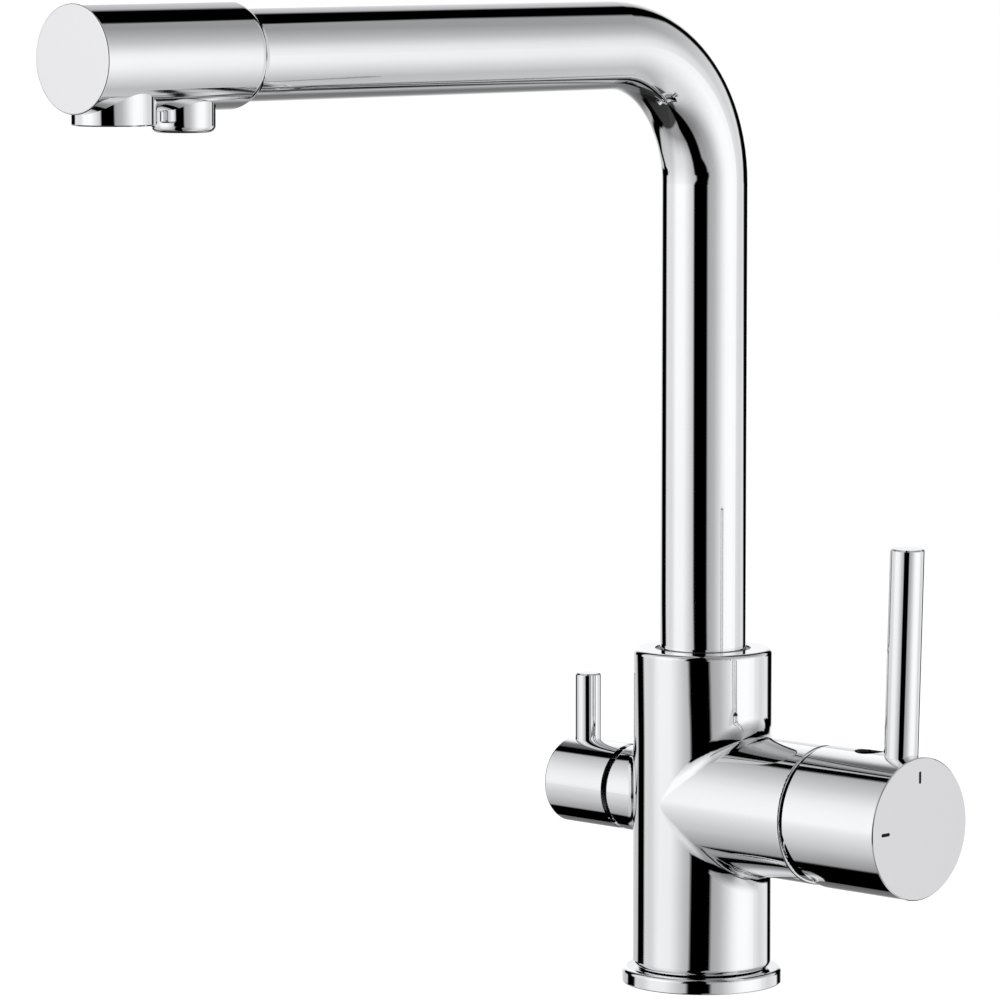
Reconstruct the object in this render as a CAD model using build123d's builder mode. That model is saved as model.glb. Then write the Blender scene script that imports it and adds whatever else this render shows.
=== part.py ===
"""Three way filtered water kitchen tap: one deck-mounted body, a swivel spout with a main outlet and a
separate filtered outlet, a mixer lever on the right and a quarter-turn filter knob on the left.

Frame: millimetres, +Z up, origin at the centre of the base on the deck. The spout points along -Y at rest,
the mixer handle lies along +X and the filter knob along -X.
"""
from build123d import *
from math import cos, radians, sin, sqrt
import os

os.makedirs("parts", exist_ok=True)

# ---------------------------------------------------------------- driving dimensions
# Body on the deck
body_r = 22.6
body_top = 110.0
body_top_round = 1.6
body_foot_round = 2.4
base_ring_r = 26.0
base_ring_h = 5.0
base_ring_round = 1.3
base_ring_foot_round = 0.5
spigot_r = 20.0
gasket_inner_r = 21.2
gasket_outer_r = 23.6
gasket_t = 1.2
valve_z = 60.8

# Mixer side of the body (along +X)
housing_r = 22.5
housing_mouth_x = 53.2
mouth_round = 0.8
junction_round = 6.5
chamber_floor_x = 20.0
cartridge_r = 17.5
cartridge_shoulder_x = 46.0
nut_thread_r = 19.2
nut_depth = 5.5

# Filter side of the body (along -X)
stub_r = 14.2
stub_mouth_x = 30.5
stub_mouth_round = 1.0
stub_junction_round = 4.5
valve_thread_r = 8.5
valve_floor_x = 14.0
valve_seat_depth = 2.5
valve_seat_r = 12.2

# Threaded holes in the underside
inlet_r = 4.5
inlet_depth = 12.0
inlet_x = 10.0
inlet_y = 7.5
filter_inlet_x = 9.5
stud_r = 3.4
stud_depth = 14.0
stud_y = 14.5

# Waterways
supply_bore_r = 3.0
mixed_bore_r = 3.3
mixed_x = 8.6
filter_bore_r = 2.8
filter_feed_r = 2.5
filter_feed_x = 18.0
filter_cross_r = 2.1
filter_cross_z = 76.5

# Spout
spout_r = 14.0
spout_wall = 1.4
spout_axis_z = 306.4
spout_bend_r = 45.0
spout_length = 270.0
spout_foot_z = 104.0
socket_r = 14.5
socket_floor_z = 86.0
glide_ring_r = 15.6
glide_ring_recess = 0.3
thrust_washer_t = 1.5
adaptor_plug_h = 12.0
adaptor_chamber_h = 2.5
adaptor_hub_r = 6.6
adaptor_hub_top = 116.0
spout_passage_r = 1.9
spout_passage_count = 6
spout_seal_section_r = 0.9
spout_seal_drops = (7.5, 12.5)
retaining_groove_w = 3.6
retaining_groove_depth = 1.2
retaining_drop = 3.4
retaining_screw_r = 2.5
retaining_tip_r = 1.5
retaining_screw_sink = 1.5

# Filtered water rotary joint and line
nipple_r = 4.6
nipple_bore_r = 2.0
nipple_root_z = 79.0
nipple_top_z = 99.0
nipple_seal_z = 95.0
nipple_seal_section_r = 0.7
line_r = 3.0
line_bore_r = 2.0
line_grip = 7.0
line_grip_wall = 2.3

# Spout head
head_r = 16.1
head_length = 64.8
head_wall = 2.6
head_shoulder = 3.2
head_lap = 6.0
head_lip = 0.3
head_shoulder_round = 4.0
end_cap_t = 2.6
end_cap_plug = 1.8
end_cap_rim = 2.0
end_cap_round = 0.5
main_outlet_setback = 15.9
main_outlet_r = 12.6
main_outlet_drop = 19.5
filter_outlet_setback = 43.2
filter_outlet_r = 9.6
filter_outlet_drop = 22.3
outlet_edge_round = 2.0
outlet_edge_break = 0.4
aerator_r = 10.9
aerator_wall = 1.6
aerator_h = 8.3
aerator_recess = 0.8
aerator_seal_t = 1.5
aerator_seal_w = 2.3
insert_grid_h = 2.4
insert_wall = 1.6
insert_plate_t = 1.5
insert_cells = 7
insert_cell_pitch = 1.15
insert_cell_r = 0.85
insert_jets = 8
insert_jet_r = 1.0
insert_jet_inset = 3.4
aerator_ledge = 2.0
aerator_ledge_w = 2.6
aerator_notch_w = 2.0
aerator_notch_h = 1.2
elbow_r = 6.4
elbow_top_rise = 5.0
elbow_arm_r = 4.6
elbow_arm_length = 14.0
elbow_crown_round = 1.5
elbow_seal_rise = 2.5
elbow_seal_section_r = 0.75
straightener_t = 1.6
straightener_cells = 5
straightener_pitch = 1.0
straightener_cell_r = 0.72

# Mixer cartridge, 35 mm size
cartridge_base_x = 20.5
cartridge_base_t = 5.5
cartridge_wall = 1.0
port_y = 7.5
inlet_port_rise = 4.5
outlet_port_drop = 5.2
inlet_port_r = 2.5
outlet_port_r = 2.6
port_seal_r = 3.9
port_seal_wall = 1.0
port_seal_t = 2.0
fixed_disc_r = 13.5
disc_t = 3.0
moving_disc_r = 12.0
pocket_w = 15.0
pocket_h = 9.0
pocket_drop = 4.0
pocket_depth = 1.6
pocket_round = 3.0
carrier_t = 6.0
turret_flange_r = 15.4
turret_flange_t = 2.0
turret_r = 12.2
turret_end_x = 54.0
neck_wall = 1.2
neck_end_x = 51.8
pivot_x = 50.0
pivot_pin_r = 1.5
stem_side = 8.0
stem_round = 1.0
stem_foot_x = 44.0
stem_tip_x = 79.5
stem_ball_r = 2.5
stem_neck_r = 1.6
ball_arm = 15.0
window_h = 12.0
collar_gap = 1.4
collar_wall = 1.2
collar_end_x = 62.0
collar_straight = 2.0
nut_inner_r = 13.9
nut_slot_w = 4.0
nut_slot_depth = 2.0

# Mixer handle, a little wider than the housing
handle_gap = 1.9
handle_step = 0.3
handle_face_x = 93.0
handle_wall = 2.5
handle_floor_x = 80.0
handle_hub_r = 8.5
handle_hub_x = 66.5
handle_bevel = 0.3
tilt_deg = 15.0
tilt_gap = 0.8
lever_x = 85.0
lever_lean_deg = 1.7
lever_r = 5.5
lever_top_z = 149.4
lever_stud_r = 3.0
lever_stud_depth = 9.0
screw_x = 72.0
screw_tower_r = 5.2
screw_well_r = 4.05
screw_well_floor = 14.0
screw_well_sink = 1.0
screw_r = 2.9
screw_length = 8.0
screw_key = 3.0
mark_length = 4.0
mark_w = 1.1
mark_depth = 0.4
mark_sink = 0.05
mark_place = 0.72

# Filter valve and its knob
seat_seal_t = 1.5
valve_disc_r = 6.2
valve_disc_t = 2.5
disc_port_offset = 3.6
disc_port_length = 5.0
disc_port_w = 2.6
disc_notch_w = 3.0
disc_web = 3.2
seat_seal_bore_r = 5.2
window_length = 5.5
window_w = 3.0
valve_relief_r = 7.6
valve_relief_end_x = 22.0
valve_hex_af = 19.0
valve_hex_end_x = 36.0
valve_neck_r = 6.5
valve_neck_end_x = 41.0
spindle_r = 3.9
spindle_foot_r = 6.0
spindle_foot_t = 3.0
spindle_end_x = 50.0
spindle_flat = 3.0
spindle_seal_x = 33.0
spindle_seal_section_r = 0.6
circlip_t = 0.8
circlip_r = 5.6
circlip_groove_r = 3.1
circlip_mouth = 3.2
knob_r = 14.2
knob_gap = 1.9
knob_face_x = 58.6
knob_bore_r = 11.9
knob_floor_x = 44.0
knob_edge_round = 1.2
knob_lever_x = 51.7
knob_screw_x = 48.4
knob_lever_r = 4.25
knob_lever_top_z = 96.8
knob_stud_r = 2.0
knob_stud_depth = 6.0
knob_screw_r = 2.4
knob_screw_length = 6.0
knob_screw_key = 2.5

# Fits
seat_gap = 0.1
press_gap = 0.02
running_gap = 0.05
swivel_gap = 0.1
free_gap = 0.3
screw_gap = 0.1
lead_in = 0.6
edge_break = 0.5
cut_over = 1.0

# ---------------------------------------------------------------- sizes worked out from them
socket_step_z = spout_foot_z
spout_bore_r = spout_r - spout_wall
adaptor_foot_z = socket_floor_z + thrust_washer_t
bend_start_z = spout_axis_z - spout_bend_r
head_rear_y = spout_length - head_length
head_cavity_r = head_r - head_wall
cap_seat_y = spout_length - end_cap_t
main_outlet_y = spout_length - main_outlet_setback
filter_outlet_y = spout_length - filter_outlet_setback
main_outlet_z = spout_axis_z - main_outlet_drop
filter_outlet_z = spout_axis_z - filter_outlet_drop
aerator_foot_z = main_outlet_z + aerator_recess
aerator_top_z = aerator_foot_z + aerator_h
aerator_seal_top_z = aerator_top_z + aerator_seal_t
elbow_foot_z = filter_outlet_z + aerator_recess + straightener_t
disc_stack_x = cartridge_base_x + cartridge_base_t
moving_disc_x = disc_stack_x + disc_t
carrier_x = moving_disc_x + disc_t
carrier_end_x = carrier_x + carrier_t
turret_flange_x = carrier_end_x + free_gap
ceiling_x = turret_flange_x + turret_flange_t + seat_gap
ball_x = pivot_x - ball_arm
neck_bore_r = turret_r + swivel_gap
neck_r = neck_bore_r + neck_wall
handle_rear_x = housing_mouth_x + handle_gap
handle_r = housing_r + handle_step
handle_bore_r = handle_r - handle_wall
collar_r = handle_bore_r - collar_gap
knob_rear_x = stub_mouth_x + knob_gap
seat_disc_x = valve_floor_x + seat_seal_t
valve_disc_x = seat_disc_x + valve_disc_t
spindle_foot_x = valve_disc_x + valve_disc_t
valve_bore_end_x = spindle_foot_x + spindle_foot_t + seat_gap
circlip_x = valve_neck_end_x + free_gap


def mixer_plane(x):
    """The plane across the mixer axis at x: its normal is +X and its second direction is up."""
    return Plane(origin=(x, 0, valve_z), x_dir=(0, 1, 0), z_dir=(1, 0, 0))


def filter_plane(x):
    """The plane across the filter valve axis, x to the left of the centre: its normal is -X."""
    return Plane(origin=(-x, 0, valve_z), x_dir=(0, -1, 0), z_dir=(-1, 0, 0))


mixer_axis = Axis((0, 0, valve_z), (1, 0, 0))
mixer_section = Plane(origin=(0, 0, valve_z), x_dir=(1, 0, 0), z_dir=(0, -1, 0))


def spout_plane(y):
    """The plane across the level part of the spout, y in front of the centre: its normal is -Y."""
    return Plane(origin=(0, -y, spout_axis_z), x_dir=(1, 0, 0), z_dir=(0, -1, 0))


def ring(outer_r, inner_r):
    """An annulus, drawn in the sketch that calls it."""
    Circle(outer_r)
    Circle(inner_r, mode=Mode.SUBTRACT)


# ---------------------------------------------------------------- body, fixed to the deck
inlet_port_z = valve_z + inlet_port_rise
outlet_port_z = valve_z - outlet_port_drop

with BuildPart() as body_casting:
    with BuildSketch(Plane.XY.offset(base_ring_h)):
        Circle(body_r)
    extrude(amount=body_top - base_ring_h)
    fillet(body_casting.edges().group_by(Axis.Z)[-1], body_top_round)
    fillet(body_casting.edges().group_by(Axis.Z)[0], body_foot_round)
    with BuildSketch():
        Circle(spigot_r)
    extrude(amount=base_ring_h + body_foot_round)
    with BuildSketch(mixer_plane(0)):
        Circle(housing_r)
    extrude(amount=housing_mouth_x)
    fillet(body_casting.edges().group_by(Axis.X)[-1], mouth_round)
    with BuildSketch(filter_plane(0)):
        Circle(stub_r)
    extrude(amount=stub_mouth_x)
    fillet(body_casting.edges().group_by(Axis.X)[0], stub_mouth_round)
    junctions = body_casting.edges().filter_by(GeomType.CIRCLE, reverse=True)
    junctions = junctions.filter_by(GeomType.LINE, reverse=True)
    fillet(junctions.filter_by_position(Axis.X, 0, housing_mouth_x), junction_round)
    fillet(junctions.filter_by_position(Axis.X, -stub_mouth_x, 0), stub_junction_round)
    # the cartridge chamber and the nut's thread
    with BuildSketch(mixer_plane(chamber_floor_x)):
        Circle(cartridge_r + free_gap)
    extrude(amount=housing_mouth_x - chamber_floor_x, mode=Mode.SUBTRACT)
    with BuildSketch(mixer_plane(cartridge_shoulder_x)):
        Circle(nut_thread_r)
    extrude(amount=housing_mouth_x - cartridge_shoulder_x, mode=Mode.SUBTRACT)
    # the filter valve's chamber and its flange seat
    with BuildSketch(filter_plane(valve_floor_x)):
        Circle(valve_thread_r + seat_gap)
    extrude(amount=stub_mouth_x - valve_floor_x, mode=Mode.SUBTRACT)
    with BuildSketch(filter_plane(stub_mouth_x - valve_seat_depth)):
        Circle(valve_seat_r)
    extrude(amount=valve_seat_depth, mode=Mode.SUBTRACT)
    # the spout's socket, with the step that holds the glide ring
    with BuildSketch(Plane.XY.offset(socket_floor_z)):
        Circle(socket_r)
    extrude(amount=body_top - socket_floor_z, mode=Mode.SUBTRACT)
    with BuildSketch(Plane.XY.offset(socket_step_z)):
        Circle(glide_ring_r)
    extrude(amount=body_top - socket_step_z, mode=Mode.SUBTRACT)
    # hot and cold: a threaded inlet, a riser and a port in the chamber's floor
    with BuildSketch():
        with Locations((inlet_x, inlet_y), (inlet_x, -inlet_y), (-filter_inlet_x, 0)):
            Circle(inlet_r)
    extrude(amount=inlet_depth, mode=Mode.SUBTRACT)
    with BuildSketch():
        with Locations((inlet_x, inlet_y), (inlet_x, -inlet_y)):
            Circle(supply_bore_r)
    extrude(amount=inlet_port_z + supply_bore_r, mode=Mode.SUBTRACT)
    with BuildSketch(mixer_plane(inlet_x)):
        with Locations((port_y, inlet_port_rise), (-port_y, inlet_port_rise)):
            Circle(inlet_port_r)
    extrude(amount=chamber_floor_x - inlet_x, mode=Mode.SUBTRACT)
    # mixed water: from the chamber's floor up to the spout's socket
    with BuildSketch(mixer_plane(mixed_x)):
        with Locations((0, -outlet_port_drop)):
            Circle(outlet_port_r)
    extrude(amount=chamber_floor_x - mixed_x, mode=Mode.SUBTRACT)
    with BuildSketch(Plane.XY.offset(outlet_port_z - mixed_bore_r)):
        with Locations((mixed_x, 0)):
            Circle(mixed_bore_r)
    extrude(amount=socket_floor_z - outlet_port_z + mixed_bore_r, mode=Mode.SUBTRACT)
    # filtered water: riser to the valve's seat, then from its chamber to the middle of the socket
    with BuildSketch():
        with Locations((-filter_inlet_x, 0)):
            Circle(filter_bore_r)
    extrude(amount=valve_z + filter_bore_r, mode=Mode.SUBTRACT)
    with BuildSketch(filter_plane(filter_inlet_x)):
        Circle(filter_bore_r)
    extrude(amount=valve_floor_x - filter_inlet_x, mode=Mode.SUBTRACT)
    with BuildSketch(Plane.XY.offset(valve_z)):
        with Locations((-filter_feed_x, 0)):
            Circle(filter_feed_r)
    extrude(amount=filter_cross_z - valve_z + filter_feed_r, mode=Mode.SUBTRACT)
    with BuildSketch(Plane(origin=(0, 0, filter_cross_z), x_dir=(0, -1, 0), z_dir=(-1, 0, 0))):
        Circle(filter_cross_r)
    extrude(amount=filter_feed_x, mode=Mode.SUBTRACT)
    with BuildSketch(Plane.XY.offset(filter_cross_z)):
        Circle(filter_feed_r)
    extrude(amount=nipple_root_z - filter_cross_z, mode=Mode.SUBTRACT)
    with BuildSketch(Plane.XY.offset(nipple_root_z)):
        Circle(nipple_r + running_gap)
    extrude(amount=socket_floor_z - nipple_root_z, mode=Mode.SUBTRACT)
    # two threaded holes for the fixing studs
    with BuildSketch():
        with Locations((0, stud_y), (0, -stud_y)):
            Circle(stud_r)
    extrude(amount=stud_depth, mode=Mode.SUBTRACT)
    # the retaining screw's hole, in the back
    with BuildSketch(Plane(origin=(0, 0, spout_foot_z - retaining_drop), x_dir=(-1, 0, 0), z_dir=(0, 1, 0))):
        Circle(retaining_screw_r + seat_gap)
    extrude(amount=body_r + cut_over, mode=Mode.SUBTRACT)

with BuildPart() as base_ring:
    with BuildSketch():
        ring(base_ring_r, spigot_r + seat_gap)
    extrude(amount=base_ring_h)
    fillet(base_ring.edges().group_by(Axis.Z)[-1].sort_by(SortBy.RADIUS)[-1], base_ring_round)
    fillet(base_ring.edges().group_by(Axis.Z)[0].sort_by(SortBy.RADIUS)[-1], base_ring_foot_round)
    with BuildSketch():
        ring(gasket_outer_r + seat_gap, gasket_inner_r - seat_gap)
    extrude(amount=gasket_t, mode=Mode.SUBTRACT)

with BuildPart() as base_gasket:
    with BuildSketch():
        ring(gasket_outer_r, gasket_inner_r)
    extrude(amount=gasket_t)

with BuildPart() as spout_retaining_screw:
    screw_head_y = body_r - retaining_screw_sink
    tip_y = spout_r - retaining_groove_depth + free_gap
    shoulder_y = socket_r + free_gap
    with BuildSketch(Plane(origin=(0, shoulder_y, spout_foot_z - retaining_drop), x_dir=(-1, 0, 0),
                           z_dir=(0, 1, 0))):
        Circle(retaining_screw_r)
    extrude(amount=screw_head_y - shoulder_y)
    with BuildSketch(Plane(origin=(0, tip_y, spout_foot_z - retaining_drop), x_dir=(-1, 0, 0),
                           z_dir=(0, 1, 0))):
        Circle(retaining_tip_r)
    extrude(amount=shoulder_y - tip_y)
    with BuildSketch(Plane(origin=(0, screw_head_y, spout_foot_z - retaining_drop), x_dir=(1, 0, 0),
                           z_dir=(0, -1, 0))):
        RegularPolygon(knob_screw_key / 2, 6, major_radius=False)
    extrude(amount=knob_screw_key, mode=Mode.SUBTRACT)

# ---------------------------------------------------------------- spout's seat and rotary joint
with BuildPart() as spout_glide_ring:
    with BuildSketch(Plane.XY.offset(socket_step_z)):
        ring(glide_ring_r - seat_gap, spout_r + running_gap)
    extrude(amount=body_top - glide_ring_recess - socket_step_z)

with BuildPart() as spout_thrust_washer:
    with BuildSketch(Plane.XY.offset(socket_floor_z)):
        ring(socket_r - seat_gap, mixed_x + mixed_bore_r + seat_gap)
    extrude(amount=thrust_washer_t)

with BuildPart() as filter_nipple:
    with BuildSketch(Plane.XY.offset(nipple_root_z)):
        ring(nipple_r, nipple_bore_r)
    extrude(amount=nipple_top_z - nipple_root_z)
    chamfer(filter_nipple.edges().group_by(Axis.Z)[-1].sort_by(SortBy.RADIUS)[-1], lead_in)
    with BuildSketch(Plane.XY.offset(nipple_seal_z - nipple_seal_section_r - seat_gap)):
        ring(nipple_r + cut_over, nipple_r - 2 * nipple_seal_section_r - seat_gap)
    extrude(amount=2 * (nipple_seal_section_r + seat_gap), mode=Mode.SUBTRACT)

with BuildPart(Plane.XY.offset(nipple_seal_z)) as filter_nipple_seal:
    Torus(nipple_r - nipple_seal_section_r, nipple_seal_section_r)

# ---------------------------------------------------------------- spout, turning about +Z
with BuildPart() as spout_adaptor:
    with BuildSketch(Plane.XY.offset(adaptor_foot_z)):
        Circle(spout_r)
    extrude(amount=spout_foot_z - adaptor_foot_z)
    with BuildSketch(Plane.XY.offset(spout_foot_z)):
        Circle(spout_bore_r - seat_gap)
    extrude(amount=adaptor_plug_h)
    # an annular chamber under the passages, open to the mixed water at every angle of the spout
    with BuildSketch(Plane.XY.offset(adaptor_foot_z)):
        ring(mixed_x + mixed_bore_r, adaptor_hub_r)
    extrude(amount=adaptor_chamber_h, mode=Mode.SUBTRACT)
    with BuildSketch(Plane.XY.offset(adaptor_foot_z)):
        with PolarLocations((adaptor_hub_r + spout_bore_r) / 2 - seat_gap, spout_passage_count):
            Circle(spout_passage_r)
    extrude(amount=spout_foot_z + adaptor_plug_h - adaptor_foot_z, mode=Mode.SUBTRACT)
    for drop in spout_seal_drops:
        with BuildSketch(Plane.XY.offset(spout_foot_z - drop - spout_seal_section_r - seat_gap)):
            ring(spout_r + cut_over, socket_r - swivel_gap - 2 * spout_seal_section_r - seat_gap)
        extrude(amount=2 * (spout_seal_section_r + seat_gap), mode=Mode.SUBTRACT)
    with BuildSketch(Plane.XY.offset(spout_foot_z - retaining_drop - retaining_groove_w / 2)):
        ring(spout_r + cut_over, spout_r - retaining_groove_depth)
    extrude(amount=retaining_groove_w, mode=Mode.SUBTRACT)
    # the hub that takes the nipple from below and the line from above
    with BuildSketch(Plane.XY.offset(spout_foot_z + adaptor_plug_h)):
        Circle(line_r + seat_gap + line_grip_wall)
    extrude(amount=adaptor_hub_top - spout_foot_z - adaptor_plug_h + line_grip)
    with BuildSketch(Plane.XY.offset(adaptor_foot_z)):
        Circle(nipple_r + running_gap)
    extrude(amount=nipple_top_z + cut_over - adaptor_foot_z, mode=Mode.SUBTRACT)
    with BuildSketch(Plane.XY.offset(nipple_top_z)):
        Circle(line_bore_r)
    extrude(amount=adaptor_hub_top - nipple_top_z, mode=Mode.SUBTRACT)
    with BuildSketch(Plane.XY.offset(adaptor_hub_top)):
        Circle(line_r + seat_gap)
    extrude(amount=line_grip, mode=Mode.SUBTRACT)

with BuildPart() as spout_seals:
    for drop in spout_seal_drops:
        with Locations((0, 0, spout_foot_z - drop)):
            Torus(socket_r - swivel_gap - spout_seal_section_r, spout_seal_section_r)

with BuildPart() as spout_tube:
    with BuildLine() as spout_path:
        rise = Line((0, 0, spout_foot_z), (0, 0, bend_start_z))
        bend = TangentArc(rise @ 1, (0, -spout_bend_r, spout_axis_z), tangent=(0, 0, 1))
        Line(bend @ 1, (0, -head_rear_y - head_lap, spout_axis_z))
    with BuildSketch(Plane.XY.offset(spout_foot_z)):
        ring(spout_r, spout_bore_r)
    sweep()

elbow_mouth_y = filter_outlet_y - elbow_arm_length

with BuildPart() as filter_line:
    with BuildLine() as line_path:
        line_rise = Line((0, 0, adaptor_hub_top), (0, 0, bend_start_z))
        line_bend = TangentArc(line_rise @ 1, (0, -spout_bend_r, spout_axis_z), tangent=(0, 0, 1))
        Line(line_bend @ 1, (0, -elbow_mouth_y - line_grip, spout_axis_z))
    with BuildSketch(Plane.XY.offset(adaptor_hub_top)):
        ring(line_r, line_bore_r)
    sweep()

with BuildPart() as spout_head:
    with BuildSketch(spout_plane(head_rear_y + head_shoulder)):
        Circle(head_r)
    extrude(amount=head_length - head_shoulder - end_cap_t)
    with BuildSketch(spout_plane(head_rear_y + head_shoulder)):
        Circle(head_r)
    with BuildSketch(spout_plane(head_rear_y)):
        Circle(spout_r + head_lip)
    loft()
    shoulder_edges = spout_head.edges().filter_by(GeomType.CIRCLE)
    shoulder_y = -head_rear_y - head_shoulder
    fillet(shoulder_edges.filter_by_position(Axis.Y, shoulder_y - seat_gap, shoulder_y + seat_gap),
           head_shoulder_round)
    # round bosses for the two outlets
    with BuildSketch(Plane.XY.offset(main_outlet_z)):
        with Locations((0, -main_outlet_y)):
            Circle(main_outlet_r)
    extrude(amount=main_outlet_drop)
    with BuildSketch(Plane.XY.offset(filter_outlet_z)):
        with Locations((0, -filter_outlet_y)):
            Circle(filter_outlet_r)
    extrude(amount=filter_outlet_drop)
    fillet(spout_head.edges().group_by(Axis.Z)[0], outlet_edge_round)
    main_rim = spout_head.edges().filter_by(GeomType.CIRCLE)
    chamfer(main_rim.filter_by_position(Axis.Z, main_outlet_z - seat_gap, main_outlet_z + seat_gap),
            outlet_edge_break)
    # the water space, open to the tube behind and to the end cap in front
    with BuildSketch(spout_plane(head_rear_y)):
        Circle(spout_r + seat_gap)
    extrude(amount=head_lap, mode=Mode.SUBTRACT)
    with BuildSketch(spout_plane(head_rear_y + head_lap)) as water_space:
        Circle(head_cavity_r)
    extrude(amount=head_length - head_lap - end_cap_t, mode=Mode.SUBTRACT)
    # a flat floor inside, over the main outlet, for the aerator's seal
    with BuildSketch(spout_plane(main_outlet_y - main_outlet_r)):
        Circle(head_cavity_r)
        with Locations((0, aerator_seal_top_z + aerator_ledge - spout_axis_z + head_r)):
            Rectangle(2 * head_r, 2 * head_r, mode=Mode.SUBTRACT)
    extrude(amount=cap_seat_y - end_cap_plug - main_outlet_y + main_outlet_r)
    with BuildSketch(Plane.XY.offset(main_outlet_z)):
        with Locations((0, -main_outlet_y)):
            Circle(aerator_r)
    extrude(amount=aerator_seal_top_z - main_outlet_z, mode=Mode.SUBTRACT)
    with BuildSketch(Plane.XY.offset(main_outlet_z)):
        with Locations((0, -main_outlet_y)):
            Circle(aerator_r - aerator_ledge_w)
    extrude(amount=main_outlet_drop, mode=Mode.SUBTRACT)
    with BuildSketch(Plane.XY.offset(filter_outlet_z)):
        with Locations((0, -filter_outlet_y)):
            Circle(elbow_r + seat_gap)
    extrude(amount=filter_outlet_drop, mode=Mode.SUBTRACT)

with BuildPart() as spout_end_cap:
    with BuildSketch(spout_plane(cap_seat_y)):
        Circle(head_r)
    extrude(amount=end_cap_t)
    fillet(spout_end_cap.edges().group_by(Axis.Y)[0], end_cap_round)
    with BuildSketch(spout_plane(cap_seat_y - end_cap_plug)):
        ring(head_cavity_r - seat_gap, head_cavity_r - end_cap_rim)
    extrude(amount=end_cap_plug)

with BuildPart() as aerator_housing:
    with BuildSketch(Plane.XY.offset(aerator_foot_z)):
        with Locations((0, -main_outlet_y)):
            ring(aerator_r - seat_gap, aerator_r - aerator_wall)
    extrude(amount=aerator_h)
    # four notches for the key that screws it in
    with BuildSketch(Plane.XY.offset(aerator_foot_z)):
        with Locations((0, -main_outlet_y)):
            with PolarLocations(aerator_r - aerator_wall / 2, 4, start_angle=45):
                Rectangle(2 * aerator_wall, aerator_notch_w)
    extrude(amount=aerator_notch_h, mode=Mode.SUBTRACT)

with BuildPart() as aerator_insert:
    insert_r = aerator_r - aerator_wall - seat_gap
    grid_top_z = aerator_foot_z + aerator_notch_h + insert_grid_h
    with BuildSketch(Plane.XY.offset(aerator_foot_z + aerator_notch_h)):
        with Locations((0, -main_outlet_y)):
            Circle(insert_r)
            with HexLocations(insert_cell_pitch, insert_cells, insert_cells):
                RegularPolygon(insert_cell_r, 6, mode=Mode.SUBTRACT)
    extrude(amount=insert_grid_h)
    with BuildSketch(Plane.XY.offset(grid_top_z)):
        with Locations((0, -main_outlet_y)):
            ring(insert_r, insert_r - insert_wall)
    extrude(amount=aerator_top_z - grid_top_z)
    with BuildSketch(Plane.XY.offset(aerator_top_z - insert_plate_t)):
        with Locations((0, -main_outlet_y)):
            Circle(insert_r - seat_gap)
            with PolarLocations(insert_r - insert_jet_inset, insert_jets):
                Circle(insert_jet_r, mode=Mode.SUBTRACT)
    extrude(amount=insert_plate_t)

with BuildPart() as aerator_seal:
    with BuildSketch(Plane.XY.offset(aerator_top_z)):
        with Locations((0, -main_outlet_y)):
            ring(aerator_r - seat_gap, aerator_r - seat_gap - aerator_seal_w)
    extrude(amount=aerator_seal_t)

with BuildPart() as filter_outlet_elbow:
    with BuildSketch(Plane.XY.offset(elbow_foot_z)):
        with Locations((0, -filter_outlet_y)):
            Circle(elbow_r)
    extrude(amount=spout_axis_z + elbow_top_rise - elbow_foot_z)
    fillet(filter_outlet_elbow.edges().group_by(Axis.Z)[-1], elbow_crown_round)
    with BuildSketch(spout_plane(elbow_mouth_y)):
        Circle(elbow_arm_r)
    extrude(amount=elbow_arm_length)
    with BuildSketch(spout_plane(elbow_mouth_y)):
        Circle(line_r + seat_gap)
    extrude(amount=line_grip + seat_gap, mode=Mode.SUBTRACT)
    with BuildSketch(spout_plane(elbow_mouth_y)):
        Circle(line_bore_r)
    extrude(amount=elbow_arm_length, mode=Mode.SUBTRACT)
    with BuildSketch(Plane.XY.offset(elbow_foot_z)):
        with Locations((0, -filter_outlet_y)):
            Circle(line_bore_r)
    extrude(amount=spout_axis_z - elbow_foot_z, mode=Mode.SUBTRACT)
    with BuildSketch(Plane.XY.offset(elbow_foot_z + elbow_seal_rise - elbow_seal_section_r - seat_gap)):
        with Locations((0, -filter_outlet_y)):
            ring(elbow_r + cut_over, elbow_r - 2 * elbow_seal_section_r)
    extrude(amount=2 * (elbow_seal_section_r + seat_gap), mode=Mode.SUBTRACT)

with BuildPart() as filter_outlet_seal:
    with Locations((0, -filter_outlet_y, elbow_foot_z + elbow_seal_rise)):
        Torus(elbow_r - elbow_seal_section_r, elbow_seal_section_r)

with BuildPart() as filter_outlet_straightener:
    with BuildSketch(Plane.XY.offset(elbow_foot_z - straightener_t)):
        with Locations((0, -filter_outlet_y)):
            Circle(elbow_r - seat_gap)
            with HexLocations(straightener_pitch, straightener_cells, straightener_cells):
                RegularPolygon(straightener_cell_r, 6, mode=Mode.SUBTRACT)
    extrude(amount=straightener_t)

# ---------------------------------------------------------------- mixer cartridge, fixed pieces
ports = ((port_y, inlet_port_rise), (-port_y, inlet_port_rise))
outlet_port = (0, -outlet_port_drop)

with BuildPart() as cartridge_port_seals:
    with BuildSketch(mixer_plane(chamber_floor_x)):
        with Locations(*ports, outlet_port):
            ring(port_seal_r, port_seal_r - port_seal_wall)
    extrude(amount=port_seal_t)

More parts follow.
